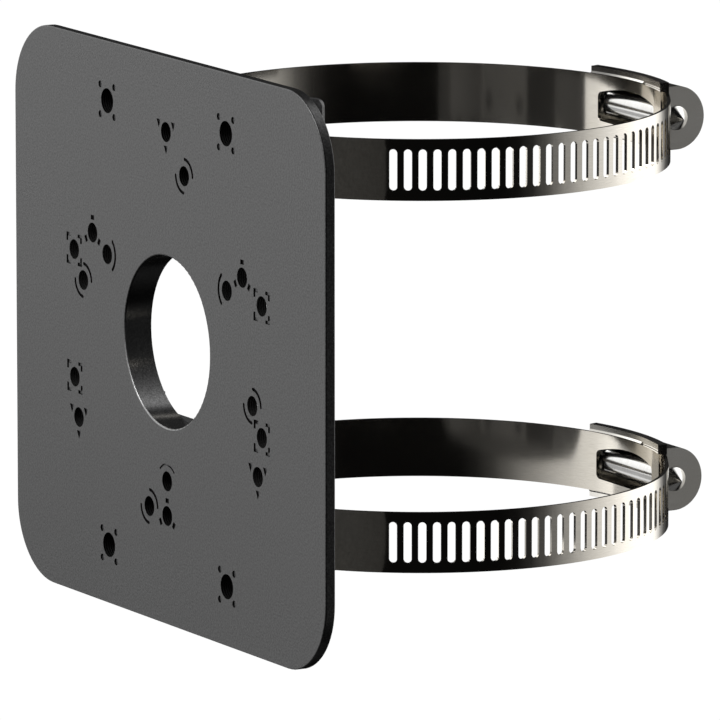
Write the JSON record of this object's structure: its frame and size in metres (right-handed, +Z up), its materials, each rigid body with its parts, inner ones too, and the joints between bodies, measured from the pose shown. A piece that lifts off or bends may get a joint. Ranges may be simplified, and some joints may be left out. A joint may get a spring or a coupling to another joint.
{
  "type": "camera pole mount bracket",
  "caption": "Rounded dark grey mounting plate with a cable hole and camera screw hole groups, held to a pole by perforated worm-drive band clamps behind two bent saddles.",
  "frame": {"origin": "centre of the cable hole on the plate's front face", "axes": "-Y out of the camera face, +Y back to the pole, +Z up along the pole, +X to the plate's right seen from the front"},
  "size_m": [0.1256, 0.1168, 0.114],
  "materials": {
    "coated_plate": "satin fine-grained powder coat",
    "coated_sheet": "satin coat on bent sheet",
    "stainless_band": "polished stainless strip",
    "stainless_housing": "pressed stainless",
    "bright_screw": "bright turned steel",
    "plated_fixing": "plated steel"
  },
  "bodies": {
    "bracket": {"mounting_plate": "coated_plate", "upper_saddle": "coated_sheet", "lower_saddle": "coated_sheet", "upper_saddle_screws": "plated_fixing", "lower_saddle_screws": "plated_fixing", "upper_band": "stainless_band", "upper_clamp_strap": "stainless_housing", "upper_clamp_housing": "stainless_housing", "lower_band": "stainless_band", "lower_clamp_strap": "stainless_housing", "lower_clamp_housing": "stainless_housing"},
    "upper_screw": {"upper_worm_screw": "bright_screw"},
    "lower_screw": {"lower_worm_screw": "bright_screw"}
  },
  "joints": [
    {"name": "upper_screw_turn", "type": "hinge", "parent": "bracket", "child": "upper_screw", "pos_m": [0, 0.11035, 0.0378], "axis": [1, 0, 0], "continuous": true},
    {"name": "lower_screw_turn", "type": "hinge", "parent": "bracket", "child": "lower_screw", "pos_m": [0, 0.11035, -0.0362], "axis": [1, 0, 0], "continuous": true}
  ]
}
